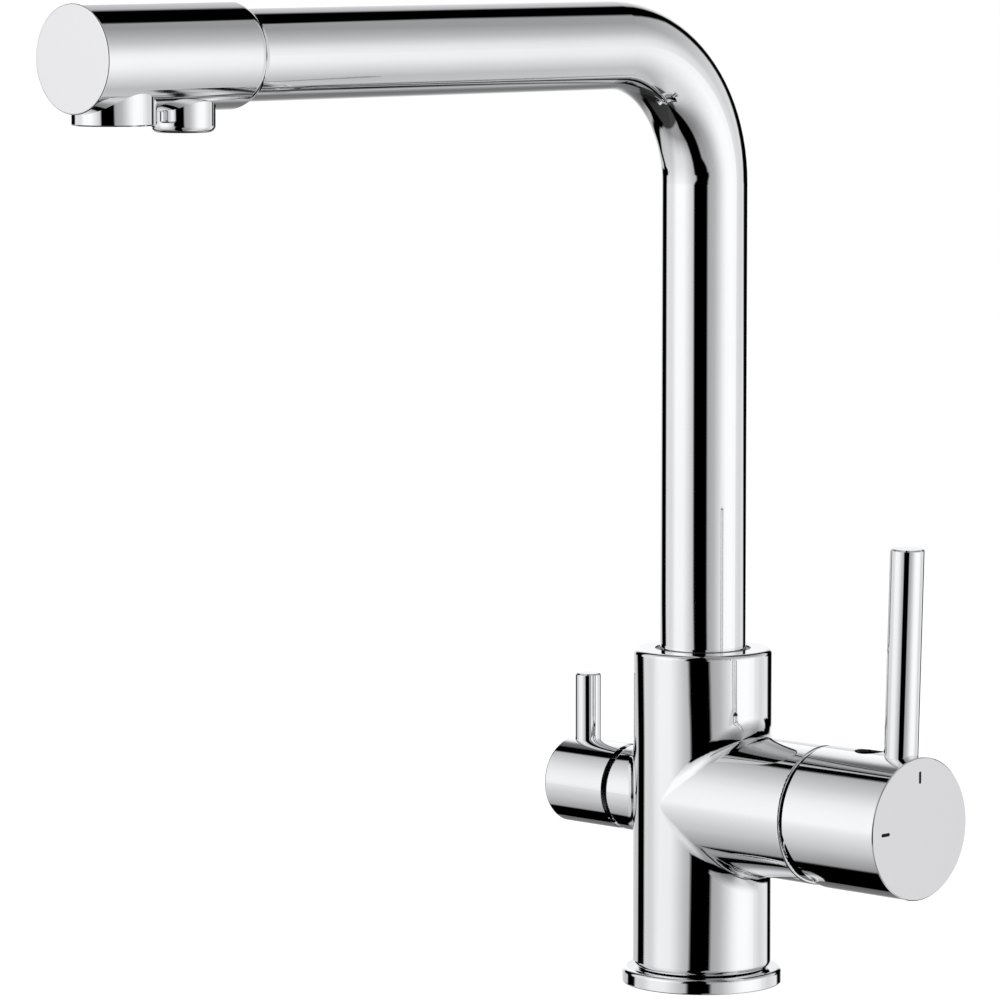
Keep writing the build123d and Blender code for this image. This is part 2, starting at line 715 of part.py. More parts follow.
with BuildPart() as cartridge_base:
    with BuildSketch(mixer_plane(cartridge_base_x)):
        Circle(cartridge_r - cartridge_wall - seat_gap)
    extrude(amount=cartridge_base_t)
    with BuildSketch(mixer_plane(cartridge_base_x)):
        with Locations(*ports, outlet_port):
            Circle(port_seal_r + seat_gap)
    extrude(amount=chamber_floor_x + port_seal_t - cartridge_base_x, mode=Mode.SUBTRACT)
    with BuildSketch(mixer_plane(cartridge_base_x)):
        with Locations(*ports):
            Circle(inlet_port_r)
        with Locations(outlet_port):
            Circle(outlet_port_r)
    extrude(amount=cartridge_base_t, mode=Mode.SUBTRACT)

with BuildPart() as cartridge_fixed_disc:
    with BuildSketch(mixer_plane(disc_stack_x)):
        Circle(fixed_disc_r)
        with Locations(*ports):
            Circle(inlet_port_r, mode=Mode.SUBTRACT)
        with Locations(outlet_port):
            Circle(outlet_port_r, mode=Mode.SUBTRACT)
    extrude(amount=disc_t)

with BuildPart() as cartridge_housing:
    with BuildSketch(mixer_plane(cartridge_base_x)):
        Circle(cartridge_r)
    extrude(amount=cartridge_shoulder_x - cartridge_base_x)
    with BuildSketch(mixer_plane(cartridge_shoulder_x)):
        Circle(neck_r)
    extrude(amount=neck_end_x - cartridge_shoulder_x)
    with BuildSketch(mixer_plane(cartridge_base_x)):
        Circle(cartridge_r - cartridge_wall)
    extrude(amount=ceiling_x - cartridge_base_x, mode=Mode.SUBTRACT)
    with BuildSketch(mixer_plane(ceiling_x)):
        Circle(neck_bore_r)
    extrude(amount=neck_end_x - ceiling_x, mode=Mode.SUBTRACT)

with BuildPart() as cartridge_nut:
    with BuildSketch(mixer_plane(cartridge_shoulder_x)):
        ring(nut_thread_r - seat_gap, nut_inner_r)
    extrude(amount=nut_depth)
    with BuildSketch(mixer_plane(cartridge_shoulder_x + nut_depth)):
        with PolarLocations((nut_thread_r + nut_inner_r) / 2, 4, start_angle=45):
            Rectangle(nut_thread_r, nut_slot_w)
    extrude(amount=-nut_slot_depth, mode=Mode.SUBTRACT)

collar_foot_x = cartridge_shoulder_x + nut_depth
collar_sphere_r = sqrt((collar_foot_x + collar_straight - pivot_x) ** 2 + collar_r ** 2)

collar_end_r = sqrt(collar_sphere_r ** 2 - (collar_end_x - pivot_x) ** 2)
collar_inner_r = collar_r - collar_wall
collar_dome_x = collar_foot_x + collar_straight

with BuildPart() as cartridge_collar:
    # a short straight skirt, then a dome about the lever's pivot, with an opening for the stem
    with BuildSketch(mixer_section):
        with BuildLine():
            Polyline((collar_dome_x, collar_inner_r), (collar_foot_x, collar_inner_r),
                     (collar_foot_x, collar_r), (collar_dome_x, collar_r))
            RadiusArc((collar_dome_x, collar_r), (collar_end_x, collar_end_r), collar_sphere_r)
            Line((collar_end_x, collar_end_r), (collar_end_x, collar_end_r - collar_wall))
            RadiusArc((collar_end_x, collar_end_r - collar_wall), (collar_dome_x, collar_inner_r),
                      -collar_sphere_r)
        make_face()
    revolve(axis=mixer_axis)

# ---------------------------------------------------------------- mixer turret, turning about X
with BuildPart() as cartridge_turret:
    with BuildSketch(mixer_plane(turret_flange_x)):
        Circle(turret_flange_r)
    extrude(amount=turret_flange_t)
    with BuildSketch(mixer_plane(turret_flange_x)):
        Circle(turret_r)
    extrude(amount=turret_end_x - turret_flange_x)
    with BuildSketch(mixer_plane(turret_flange_x)):
        Rectangle(stem_side + 2 * free_gap, window_h)
    extrude(amount=turret_end_x - turret_flange_x, mode=Mode.SUBTRACT)
    with BuildSketch(Plane(origin=(pivot_x, 0, valve_z), x_dir=(1, 0, 0), z_dir=(0, -1, 0))):
        Circle(pivot_pin_r + press_gap)
    extrude(amount=turret_r, both=True, mode=Mode.SUBTRACT)

with BuildPart() as lever_pivot_pin:
    with BuildSketch(Plane(origin=(pivot_x, 0, valve_z), x_dir=(1, 0, 0), z_dir=(0, -1, 0))):
        Circle(pivot_pin_r)
    extrude(amount=turret_r - cut_over, both=True)

# ---------------------------------------------------------------- sliding disc of the mixer
with BuildPart() as cartridge_moving_disc:
    with BuildSketch(mixer_plane(moving_disc_x)):
        Circle(moving_disc_r)
    extrude(amount=disc_t)
    with BuildSketch(mixer_plane(moving_disc_x)):
        with Locations((0, -pocket_drop)):
            RectangleRounded(pocket_w, pocket_h, pocket_round)
    extrude(amount=pocket_depth, mode=Mode.SUBTRACT)

with BuildPart() as disc_carrier:
    with BuildSketch(mixer_plane(carrier_x)):
        ring(moving_disc_r, stem_ball_r + free_gap)
    extrude(amount=carrier_t)

# ---------------------------------------------------------------- mixer handle, tilting on the pivot pin
with BuildPart() as cartridge_stem:
    with BuildSketch(mixer_plane(stem_foot_x)):
        RectangleRounded(stem_side, stem_side, stem_round)
    extrude(amount=stem_tip_x - stem_foot_x)
    with BuildSketch(mixer_plane(ball_x)):
        Circle(stem_neck_r)
    extrude(amount=stem_foot_x - ball_x)
    with Locations((ball_x, 0, valve_z)):
        Sphere(stem_ball_r)
    with BuildSketch(Plane(origin=(pivot_x, 0, valve_z), x_dir=(1, 0, 0), z_dir=(0, -1, 0))):
        Circle(pivot_pin_r + running_gap)
    extrude(amount=stem_side, both=True, mode=Mode.SUBTRACT)

with BuildPart() as handle_shell:
    with BuildSketch(mixer_plane(handle_rear_x)):
        Circle(handle_r)
    extrude(amount=handle_face_x - handle_rear_x)
    chamfer(handle_shell.edges().group_by(Axis.X)[-1], handle_bevel)
    with BuildSketch(mixer_plane(handle_rear_x)):
        Circle(handle_bore_r)
    extrude(amount=handle_floor_x - handle_rear_x, mode=Mode.SUBTRACT)
    with BuildSketch(mixer_plane(handle_hub_x)):
        Circle(handle_hub_r)
    extrude(amount=handle_floor_x - handle_hub_x)
    # the tower that carries the fixing screw, its thread and the wide well above it
    with BuildSketch(Plane(origin=(screw_x, 0, valve_z), x_dir=(1, 0, 0), z_dir=(0, 0, 1))):
        Circle(screw_tower_r)
    extrude(amount=handle_bore_r + handle_wall / 2)
    with BuildSketch(Plane(origin=(screw_x, 0, valve_z), x_dir=(1, 0, 0), z_dir=(0, 0, 1))):
        Circle(screw_r + screw_gap)
    extrude(amount=handle_r, mode=Mode.SUBTRACT)
    with BuildSketch(Plane(origin=(screw_x, 0, valve_z + screw_well_floor), x_dir=(1, 0, 0),
                           z_dir=(0, 0, 1))):
        Circle(screw_well_r)
    extrude(amount=handle_r, mode=Mode.SUBTRACT)
    with Locations((screw_x, 0, valve_z + handle_r)):
        Cone(screw_well_r, screw_well_r + 2 * screw_well_sink, 2 * screw_well_sink, mode=Mode.SUBTRACT)
    with BuildSketch(mixer_plane(handle_hub_x)):
        Rectangle(stem_side + 2 * seat_gap, stem_side + 2 * seat_gap)
    extrude(amount=stem_tip_x + free_gap - handle_hub_x, mode=Mode.SUBTRACT)
    # the lever's threaded socket
    with BuildSketch(Plane(origin=(lever_x, 0, valve_z + handle_r - lever_stud_depth), x_dir=(1, 0, 0),
                           z_dir=(0, 0, 1))):
        Circle(lever_stud_r + seat_gap)
    extrude(amount=lever_stud_depth + cut_over, mode=Mode.SUBTRACT)
    # the lower rear edge is cut back so that it clears the housing when the handle tilts
    cut_start_x = pivot_x + (housing_mouth_x + tilt_gap - pivot_x) / cos(radians(tilt_deg))
    with BuildSketch(Plane(origin=(cut_start_x, 0, valve_z), x_dir=(0, 1, 0),
                           z_dir=(-cos(radians(tilt_deg)), 0, -sin(radians(tilt_deg))))):
        Rectangle(4 * handle_r, 4 * handle_r)
    extrude(amount=2 * handle_r, mode=Mode.SUBTRACT)
    # shallow slots for the index marks
    with BuildSketch(mixer_plane(handle_face_x)):
        with Locations((0, mark_place * handle_r)):
            SlotOverall(mark_length, mark_w, rotation=90)
        with Locations((-mark_place * handle_r, 0)):
            SlotOverall(mark_length, mark_w)
    extrude(amount=-mark_depth, mode=Mode.SUBTRACT)

with BuildPart() as handle_index_marks:
    with BuildSketch(mixer_plane(handle_face_x - mark_depth)):
        with Locations((0, mark_place * handle_r)):
            SlotOverall(mark_length, mark_w, rotation=90)
        with Locations((-mark_place * handle_r, 0)):
            SlotOverall(mark_length, mark_w)
    extrude(amount=mark_depth - mark_sink)

lever_seat_z = valve_z + sqrt(handle_r ** 2 - lever_r ** 2)

with BuildPart() as handle_lever:
    with BuildSketch(Plane(origin=(lever_x, 0, lever_seat_z - cut_over),
                           x_dir=(cos(radians(lever_lean_deg)), 0, -sin(radians(lever_lean_deg))),
                           z_dir=(sin(radians(lever_lean_deg)), 0, cos(radians(lever_lean_deg))))):
        Circle(lever_r)
    extrude(amount=lever_top_z - lever_seat_z + cut_over)
    chamfer(handle_lever.edges().group_by(Axis.Z)[-1], edge_break)
    # its foot is hollowed to sit on the round handle
    with BuildSketch(mixer_plane(lever_x - 2 * lever_r)):
        Circle(handle_r)
    extrude(amount=4 * lever_r, mode=Mode.SUBTRACT)
    with BuildSketch(Plane(origin=(lever_x, 0, valve_z + handle_r - lever_stud_depth + seat_gap),
                           x_dir=(1, 0, 0), z_dir=(0, 0, 1))):
        Circle(lever_stud_r)
    extrude(amount=lever_stud_depth)

with BuildPart() as handle_screw:
    with BuildSketch(Plane(origin=(screw_x, 0, valve_z + stem_side / 2), x_dir=(1, 0, 0), z_dir=(0, 0, 1))):
        Circle(screw_r)
    extrude(amount=screw_length)
    with BuildSketch(Plane(origin=(screw_x, 0, valve_z + stem_side / 2 + screw_length), x_dir=(1, 0, 0),
                           z_dir=(0, 0, 1))):
        RegularPolygon(screw_key / 2, 6, major_radius=False)
    extrude(amount=-screw_key, mode=Mode.SUBTRACT)

# ---------------------------------------------------------------- filter valve, fixed pieces
with BuildPart() as filter_seat_seal:
    with BuildSketch(filter_plane(valve_floor_x)):
        ring(valve_relief_r, seat_seal_bore_r)
    extrude(amount=seat_seal_t)

with BuildPart() as filter_seat_disc:
    with BuildSketch(filter_plane(seat_disc_x)):
        Circle(valve_disc_r)
        with Locations((0, disc_port_offset), (0, -disc_port_offset)):
            SlotOverall(disc_port_length, disc_port_w, mode=Mode.SUBTRACT)
    extrude(amount=valve_disc_t)

with BuildPart() as filter_valve_body:
    with BuildSketch(filter_plane(seat_disc_x)):
        Circle(valve_relief_r)
    extrude(amount=valve_relief_end_x - seat_disc_x)
    with BuildSketch(filter_plane(valve_relief_end_x)):
        Circle(valve_thread_r)
    extrude(amount=stub_mouth_x - valve_seat_depth - valve_relief_end_x)
    with BuildSketch(filter_plane(stub_mouth_x - valve_seat_depth)):
        RegularPolygon(valve_hex_af / 2, 6, major_radius=False)
    extrude(amount=valve_hex_end_x - stub_mouth_x + valve_seat_depth)
    with BuildSketch(filter_plane(valve_hex_end_x)):
        Circle(valve_neck_r)
    extrude(amount=valve_neck_end_x - valve_hex_end_x)
    with BuildSketch(filter_plane(seat_disc_x)):
        Circle(valve_disc_r + seat_gap)
    extrude(amount=valve_bore_end_x - seat_disc_x, mode=Mode.SUBTRACT)
    with BuildSketch(filter_plane(valve_bore_end_x)):
        Circle(spindle_r + swivel_gap)
    extrude(amount=valve_neck_end_x - valve_bore_end_x, mode=Mode.SUBTRACT)
    # side windows, beside the moving disc, that let the filtered water out of its notches
    with BuildSketch(Plane(origin=(-valve_disc_x - window_w / 2, 0, valve_z), x_dir=(1, 0, 0),
                           z_dir=(0, 0, 1))):
        SlotOverall(window_length, window_w, rotation=90)
    extrude(amount=valve_relief_r + cut_over, both=True, mode=Mode.SUBTRACT)

# ---------------------------------------------------------------- filter knob, a quarter turn about X
with BuildPart() as filter_moving_disc:
    with BuildSketch(filter_plane(valve_disc_x)):
        Circle(valve_disc_r - seat_gap)
        with Locations(((valve_disc_r + disc_web / 2) / 2, 0), (-(valve_disc_r + disc_web / 2) / 2, 0)):
            Rectangle(valve_disc_r - disc_web / 2, disc_notch_w, mode=Mode.SUBTRACT)
    extrude(amount=valve_disc_t)

with BuildPart() as filter_spindle:
    with BuildSketch(filter_plane(spindle_foot_x)):
        Circle(spindle_foot_r)
    extrude(amount=spindle_foot_t)
    with BuildSketch(filter_plane(spindle_foot_x)):
        Circle(spindle_r)
    extrude(amount=spindle_end_x - spindle_foot_x)
    with BuildSketch(filter_plane(spindle_seal_x - spindle_seal_section_r - seat_gap)):
        ring(spindle_r + cut_over, spindle_r - 2 * spindle_seal_section_r - seat_gap)
    extrude(amount=2 * (spindle_seal_section_r + seat_gap), mode=Mode.SUBTRACT)
    with BuildSketch(filter_plane(circlip_x)):
        ring(spindle_r + cut_over, circlip_groove_r)
    extrude(amount=circlip_t, mode=Mode.SUBTRACT)
    # a flat at the lower side for the knob's screw
    with BuildSketch(filter_plane(circlip_x + circlip_t + edge_break)):
        with Locations((0, -spindle_flat - spindle_r)):
            Rectangle(4 * spindle_r, 2 * spindle_r)
    extrude(amount=spindle_end_x, mode=Mode.SUBTRACT)

with BuildPart(filter_plane(spindle_seal_x)) as filter_spindle_seal:
    Torus(spindle_r - spindle_seal_section_r, spindle_seal_section_r)

with BuildPart() as filter_circlip:
    with BuildSketch(filter_plane(circlip_x)):
        ring(circlip_r, circlip_groove_r + press_gap)
        with Locations((0, -circlip_r)):
            Rectangle(circlip_mouth, 2 * circlip_r, mode=Mode.SUBTRACT)
    extrude(amount=circlip_t - press_gap)

with BuildPart() as filter_knob:
    with BuildSketch(filter_plane(knob_rear_x)):
        Circle(knob_r)
    extrude(amount=knob_face_x - knob_rear_x)
    fillet(filter_knob.edges().group_by(Axis.X)[0], knob_edge_round)
    with BuildSketch(filter_plane(knob_rear_x)):
        Circle(knob_bore_r)
    extrude(amount=knob_floor_x - knob_rear_x, mode=Mode.SUBTRACT)
    # a D-shaped socket for the spindle
    with BuildSketch(filter_plane(knob_floor_x)):
        Circle(spindle_r + seat_gap)
        with Locations((0, -spindle_flat - seat_gap - spindle_r)):
            Rectangle(4 * spindle_r, 2 * spindle_r, mode=Mode.SUBTRACT)
    extrude(amount=spindle_end_x + free_gap - knob_floor_x, mode=Mode.SUBTRACT)
    with BuildSketch(Plane(origin=(-knob_lever_x, 0, valve_z + knob_r - knob_stud_depth), x_dir=(1, 0, 0),
                           z_dir=(0, 0, 1))):
        Circle(knob_stud_r + seat_gap)
    extrude(amount=knob_stud_depth + cut_over, mode=Mode.SUBTRACT)
    with BuildSketch(Plane(origin=(-knob_screw_x, 0, valve_z), x_dir=(1, 0, 0), z_dir=(0, 0, -1))):
        Circle(knob_screw_r + screw_gap)
    extrude(amount=knob_r + cut_over, mode=Mode.SUBTRACT)

knob_lever_seat_z = valve_z + sqrt(knob_r ** 2 - knob_lever_r ** 2)

with BuildPart() as filter_knob_lever:
    with BuildSketch(Plane(origin=(-knob_lever_x, 0, knob_lever_seat_z - cut_over), x_dir=(1, 0, 0),
                           z_dir=(0, 0, 1))):
        Circle(knob_lever_r)
    extrude(amount=knob_lever_top_z - knob_lever_seat_z + cut_over)
    chamfer(filter_knob_lever.edges().group_by(Axis.Z)[-1], edge_break)
    with BuildSketch(filter_plane(knob_lever_x - 2 * knob_lever_r)):
        Circle(knob_r)
    extrude(amount=4 * knob_lever_r, mode=Mode.SUBTRACT)
    with BuildSketch(Plane(origin=(-knob_lever_x, 0, valve_z + knob_r - knob_stud_depth + seat_gap),
                           x_dir=(1, 0, 0), z_dir=(0, 0, 1))):
        Circle(knob_stud_r)
    extrude(amount=knob_stud_depth)

with BuildPart() as filter_knob_screw:
    with BuildSketch(Plane(origin=(-knob_screw_x, 0, valve_z - spindle_flat), x_dir=(1, 0, 0),
                           z_dir=(0, 0, -1))):
        Circle(knob_screw_r)
    extrude(amount=knob_screw_length)
    with BuildSketch(Plane(origin=(-knob_screw_x, 0, valve_z - spindle_flat - knob_screw_length),
                           x_dir=(1, 0, 0), z_dir=(0, 0, 1))):
        RegularPolygon(knob_screw_key / 2, 6, major_radius=False)
    extrude(amount=knob_screw_key, mode=Mode.SUBTRACT)

# ---------------------------------------------------------------- hand over, one file a piece
pieces = {
    "body_casting": body_casting,
    "base_ring": base_ring,
    "base_gasket": base_gasket,
    "spout_retaining_screw": spout_retaining_screw,
    "spout_glide_ring": spout_glide_ring,
    "spout_thrust_washer": spout_thrust_washer,
    "filter_nipple": filter_nipple,
    "filter_nipple_seal": filter_nipple_seal,
    "spout_adaptor": spout_adaptor,
    "spout_seals": spout_seals,
    "spout_tube": spout_tube,
    "filter_line": filter_line,
    "spout_head": spout_head,
    "spout_end_cap": spout_end_cap,
    "aerator_housing": aerator_housing,
    "aerator_insert": aerator_insert,
    "aerator_seal": aerator_seal,
    "filter_outlet_elbow": filter_outlet_elbow,
    "filter_outlet_seal": filter_outlet_seal,
    "filter_outlet_straightener": filter_outlet_straightener,
    "cartridge_port_seals": cartridge_port_seals,
    "cartridge_base": cartridge_base,
    "cartridge_fixed_disc": cartridge_fixed_disc,
    "cartridge_housing": cartridge_housing,
    "cartridge_nut": cartridge_nut,
    "cartridge_collar": cartridge_collar,
    "cartridge_turret": cartridge_turret,
    "lever_pivot_pin": lever_pivot_pin,
    "cartridge_moving_disc": cartridge_moving_disc,
    "disc_carrier": disc_carrier,
    "cartridge_stem": cartridge_stem,
    "handle_shell": handle_shell,
    "handle_index_marks": handle_index_marks,
    "handle_lever": handle_lever,
    "handle_screw": handle_screw,
    "filter_seat_seal": filter_seat_seal,
    "filter_seat_disc": filter_seat_disc,
    "filter_valve_body": filter_valve_body,
    "filter_moving_disc": filter_moving_disc,
    "filter_spindle": filter_spindle,
    "filter_spindle_seal": filter_spindle_seal,
    "filter_circlip": filter_circlip,
    "filter_knob": filter_knob,
    "filter_knob_lever": filter_knob_lever,
    "filter_knob_screw": filter_knob_screw,
}
for name, piece in pieces.items():
    piece.part.label = name
    export_step(piece.part, f"parts/{name}.step")
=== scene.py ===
# %% [markdown]
# # A chrome kitchen tap with a filtered water outlet
#
# The tap comes packed from CAD as a fixed frame: forty-odd pieces that already have the right shapes,
# sizes and joints. Polished chrome has hardly any colour of its own, so what a reader sees on it is the
# studio round it. This lesson therefore spends most of its care on two things: a studio that a chrome
# tube can mirror, and finishes that differ in the small ways that plated brass, rubber, ceramic and
# plastic really do.

# %% Load the packed tap
from math import acos, cos, degrees, pi, radians, sin

import bpy
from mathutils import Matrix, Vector


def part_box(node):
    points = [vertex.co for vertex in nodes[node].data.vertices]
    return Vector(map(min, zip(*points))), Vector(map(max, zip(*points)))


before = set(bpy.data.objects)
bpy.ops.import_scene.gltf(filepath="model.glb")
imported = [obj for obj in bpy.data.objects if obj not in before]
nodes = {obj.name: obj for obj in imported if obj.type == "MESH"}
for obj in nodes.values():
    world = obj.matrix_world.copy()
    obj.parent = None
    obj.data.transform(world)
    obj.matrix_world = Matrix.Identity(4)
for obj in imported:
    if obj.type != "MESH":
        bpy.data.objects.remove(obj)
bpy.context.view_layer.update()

# %% [markdown]
# ## The camera
#
# The photograph was taken with a long lens from the right of the spout and a little above the deck: the
# upright tube stays almost straight, and the end of the handle shows as a narrow ellipse. The bearing and
# the height of the view are turned into a direction, and the camera backs away from its target along it.
# Nothing is shifted, so that other views can move the same camera.

# %% Camera at the photograph's viewpoint
view_bearing = 44.6      # degrees round from the front of the tap towards the mixer handle
view_height = 6.0        # degrees above the deck
view_distance = 1.850    # metres from the target
target_side = -0.0661    # metres across the view from the tap's upright axis
target_up = 0.1583       # metres above the deck
lens_mm = 205.0
sees_as_far_as = 20      # metres

bearing, height = radians(view_bearing), radians(view_height)
towards_camera = Vector((sin(bearing) * cos(height), -cos(bearing) * cos(height), sin(height)))
across_view = Vector((cos(bearing), sin(bearing), 0))
target = across_view * target_side + Vector((0, 0, target_up))

camera = bpy.data.objects.new("camera", bpy.data.cameras.new("camera"))
bpy.context.scene.collection.objects.link(camera)
camera.data.lens = lens_mm
camera.data.clip_end = sees_as_far_as
camera.location = target + towards_camera * view_distance
camera.rotation_euler = (-towards_camera).to_track_quat("-Z", "Y").to_euler()
bpy.context.scene.camera = camera
print("camera at", [round(v, 3) for v in camera.location])

# %% [markdown]
# ## Shader maths written as Python
#
# A finish is a formula over the surface: so much roughness, a little more where a slow noise is high, and
# so on. Wiring Math nodes by hand hides the formula, so one small class wraps the output of a node and
# gives it the usual operators. Every other node comes from one method that takes its type, its settings
# and what goes into its sockets.

# %% Signals: node outputs with operators
class Signal:
    """The output of a shader node. Adding, multiplying or comparing signals adds the Math node for it."""

    def __init__(self, graph, socket):
        self.graph, self.socket = graph, socket

    def math(self, operation, *values):
        return self.graph.node("ShaderNodeMath", {"operation": operation}, dict(enumerate(values)))

    def __add__(self, other): return self.math("ADD", self, other)
    def __radd__(self, other): return self.math("ADD", other, self)
    def __sub__(self, other): return self.math("SUBTRACT", self, other)
    def __rsub__(self, other): return self.math("SUBTRACT", other, self)
    def __mul__(self, other): return self.math("MULTIPLY", self, other)
    def __rmul__(self, other): return self.math("MULTIPLY", other, self)
    def __truediv__(self, other): return self.math("DIVIDE", self, other)
    def __pow__(self, other): return self.math("POWER", self, other)
    def __neg__(self): return self.math("MULTIPLY", self, -1)
    def __gt__(self, other): return self.math("GREATER_THAN", self, other)
    def __lt__(self, other): return self.math("LESS_THAN", self, other)


print("a signal takes + - * / ** < > and math()")

# %% [markdown]
# A graph holds the nodes that signals join. Beside the method that makes any node it has the few recipes
# that come back all the time: a soft step, a band between two steps, a noise, a blend of two colours.

# %% The graph that signals run in
def grey(level):
    """A neutral colour; 1 is white."""
    return (level, level, level, 1)


class Graph:
    """A node tree that is filled from Python."""

    def __init__(self, tree):
        self.tree = tree
        tree.nodes.clear()

    def node(self, kind, settings=None, sockets=None, out=0):
        """Add a node: settings are set first, then each socket gets a number, a colour or a signal.

        out is the number or name of the output that the signal stands for. The setting "stops" fills a ramp
        with pairs of place and level.
        """
        made = self.tree.nodes.new(kind)
        for name, value in (settings or {}).items():
            if name == "stops":
                ramp = made.color_ramp
                while len(ramp.elements) < len(value):
                    ramp.elements.new(0.5)
                for element, (place, level) in zip(ramp.elements, value):
                    element.position, element.color = place, grey(level)
            else:
                setattr(made, name, value)
        for name, value in (sockets or {}).items():
            if isinstance(value, Signal):
                self.join(value, made, name)
            else:
                made.inputs[name].default_value = value
        return Signal(self, made.outputs[out]) if made.outputs else made

    def join(self, signal, node, name):
        """Feed a signal into one socket of a node, in place of what fed it before."""
        self.tree.links.new(signal.socket, node.inputs[name])

    def smooth(self, value, start, end):
        """0 below start and 1 above end, with a soft step between them."""
        return self.node("ShaderNodeMapRange", {"interpolation_type": "SMOOTHSTEP"},
                         {"Value": value, "From Min": start, "From Max": end})

    def band(self, value, low, high, soft):
        """1 between low and high and 0 outside, each edge soft over a width; low and high may be signals."""
        half = soft / 2
        return self.smooth(value - low, -half, half) * (1 - self.smooth(value - high, -half, half))

    def split(self, vector):
        """The three parts of a vector as signals."""
        parts = self.node("ShaderNodeSeparateXYZ", None, {0: vector}).socket.node
        return [Signal(self, output) for output in parts.outputs]

    def noise(self, where, scale, detail=2.0, roughness=0.5):
        """A cloudy value from 0 to 1; scale is cycles per metre."""
        return self.node("ShaderNodeTexNoise", {"noise_dimensions": "3D"},
                         {"Vector": where, "Scale": scale, "Detail": detail, "Roughness": roughness})

    def blend(self, factor, first, second):
        """Mix two colours."""
        return self.node("ShaderNodeMix", {"data_type": "RGBA"}, {0: factor, 6: first, 7: second}, out=2)


print("a graph's recipes:", [name for name in vars(Graph) if not name.startswith("_")])

# %% [markdown]
# ## A light tent that chrome can mirror
#
# Product photographers stand chrome in a white tent and hang black cards at its edges: the tent gives the
# long pale gradients, the cards give the black lines that draw a tube's outline. Lamps could imitate
# this, but a tube would show them as hard rectangles. The world can be the tent itself. First each
# direction is turned into a bearing round the tap, 0 at the camera and 180 behind the tap, and a height
# above or below level.

# %% Each direction as a bearing and a height
world = bpy.data.worlds.new("tent")
bpy.context.scene.world = world
world.use_nodes = True
g = Graph(world.node_tree)

east, north, up = g.split(g.node("ShaderNodeTexCoord"))
rightwards = east * cos(bearing) + north * sin(bearing)
nearwards = east * sin(bearing) - north * cos(bearing)
compass = rightwards.math("ARCTAN2", rightwards, nearwards) * degrees(1)
rise = up.math("ARCSINE", up) * degrees(1)
print("bearing 0 of the tent looks", view_bearing, "degrees round from the tap's front")

# %% [markdown]
# A ramp gives the brightness of the cloth at each bearing: dim round the camera, bright at both sides.
# Two more ramps dim the left and the right wall towards the floor and the top, and the wall behind the
# tap is dimmed towards its foot. The level run of the spout mirrors these, since its sides look up and
# down.

# %% Brightness of the cloth
def ladder(value, low, high, stops):
    """The level that stops give for a value between low and high, in straight lines from stop to stop."""
    placed = [((at - low) / (high - low), level) for at, level in stops]
    return g.node("ShaderNodeValToRGB", {"stops": placed}, {"Fac": (value - low) / (high - low)})


# from -180 degrees (behind, by way of the left) to 180 (behind, by way of the right)
cloth_stops = [(-180, 1.0), (-164, 0.95), (-150, 0.60), (-112, 0.76), (-100, 0.74), (-93, 0.79), (-86, 0.93),
               (-80, 1.0), (-58, 0.98), (-46, 0.80), (-34, 0.60), (-22, 0.46), (10, 0.38), (26, 0.47),
               (39, 0.67), (50, 0.87), (60, 0.98), (76, 1.0), (87, 0.94), (98, 0.80), (110, 0.68),
               (124, 0.76), (138, 0.84), (160, 0.86), (172, 0.97), (180, 1.0)]
# by height, from -90 degrees (straight down) to 90 (straight up)
left_wall = [(-90, 0.30), (-49, 0.32), (-44, 0.46), (-38, 0.60), (-31, 0.72), (-23, 0.76), (-17, 0.80),
             (-10, 0.87), (-3, 1.0), (24, 1.0), (32, 0.94), (38, 0.83), (44, 0.68), (49, 0.56), (90, 0.50)]
right_wall = [(-90, 0.60), (-45, 0.70), (-30, 0.84), (-14, 0.98), (0, 1.0), (7, 0.92), (15, 0.77),
              (23, 0.62), (33, 0.52), (45, 0.42), (90, 0.40)]
walls_meet = 40                      # degrees to either side of the camera over which the walls blend
behind_from, behind_to = 148, 166    # bearings over which the side walls turn into the one behind the tap
foot_loss, foot_depth = 0.76, 30     # share of light lost at its foot, and how many degrees down that is

cloth = ladder(compass, -180, 180, cloth_stops)
side = g.smooth(compass, -walls_meet, walls_meet)
walls = ladder(rise, -90, 90, left_wall) * (1 - side) + ladder(rise, -90, 90, right_wall) * side
behind = g.smooth(compass.math("ABSOLUTE", compass), behind_from, behind_to)
foot = 1 - foot_loss * behind * g.smooth(-rise, 0, foot_depth)
print("stops of the cloth:", len(cloth_stops), "round,", len(left_wall), "and", len(right_wall), "up")

# %% [markdown]
# The black cards are bands of bearing: one round the camera and one behind each side. An upright tube
# mirrors a narrow range of heights and would do with straight cards, but the bend and the level run
# mirror nearly all of them, and their dark lines swing from side to side. So the edges of a card follow
# the height as well.

# %% Three black cards
def edge(sign, stops):
    """The bearing at which a card starts or ends, by stops of height and bearing; sign is -1 on the left."""
    return sign * 180 * ladder(rise, -90, 90, [(at, turn / 180) for at, turn in stops])


front_start = edge(-1, [(-60, 47), (-45, 35), (-25, 30), (-12, 28), (-11, 23.3), (-8.2, 23.3), (-7, 29),
                        (-3, 30.8)])
front_end = edge(1, [(-16, 7), (-12, 8), (-11, 11), (-8.2, 11), (-7, 7.5), (-3, 6)])
right_start = edge(1, [(-40, 131), (-15, 139), (-10, 139), (-2, 124), (10, 136), (28, 142), (40, 131),
                       (45.2, 131.5), (47, 122)])
right_end = edge(1, [(-43, 150.5), (-28, 160.5), (10, 160.5), (40, 164.5)])
left_start = edge(-1, [(-50, 170), (-41, 168), (-39.5, 150), (-33, 146), (-16, 156), (-12, 150), (-11, 138),
                       (-8.2, 137), (-7, 150), (10, 152), (40, 146)])
left_end = edge(-1, [(-50, 117), (-44, 120), (-40, 127), (-33, 131), (-16, 137), (-12, 124), (-11, 115.5),
                     (-8.2, 115.5), (-7, 122), (10, 125), (40, 124)])
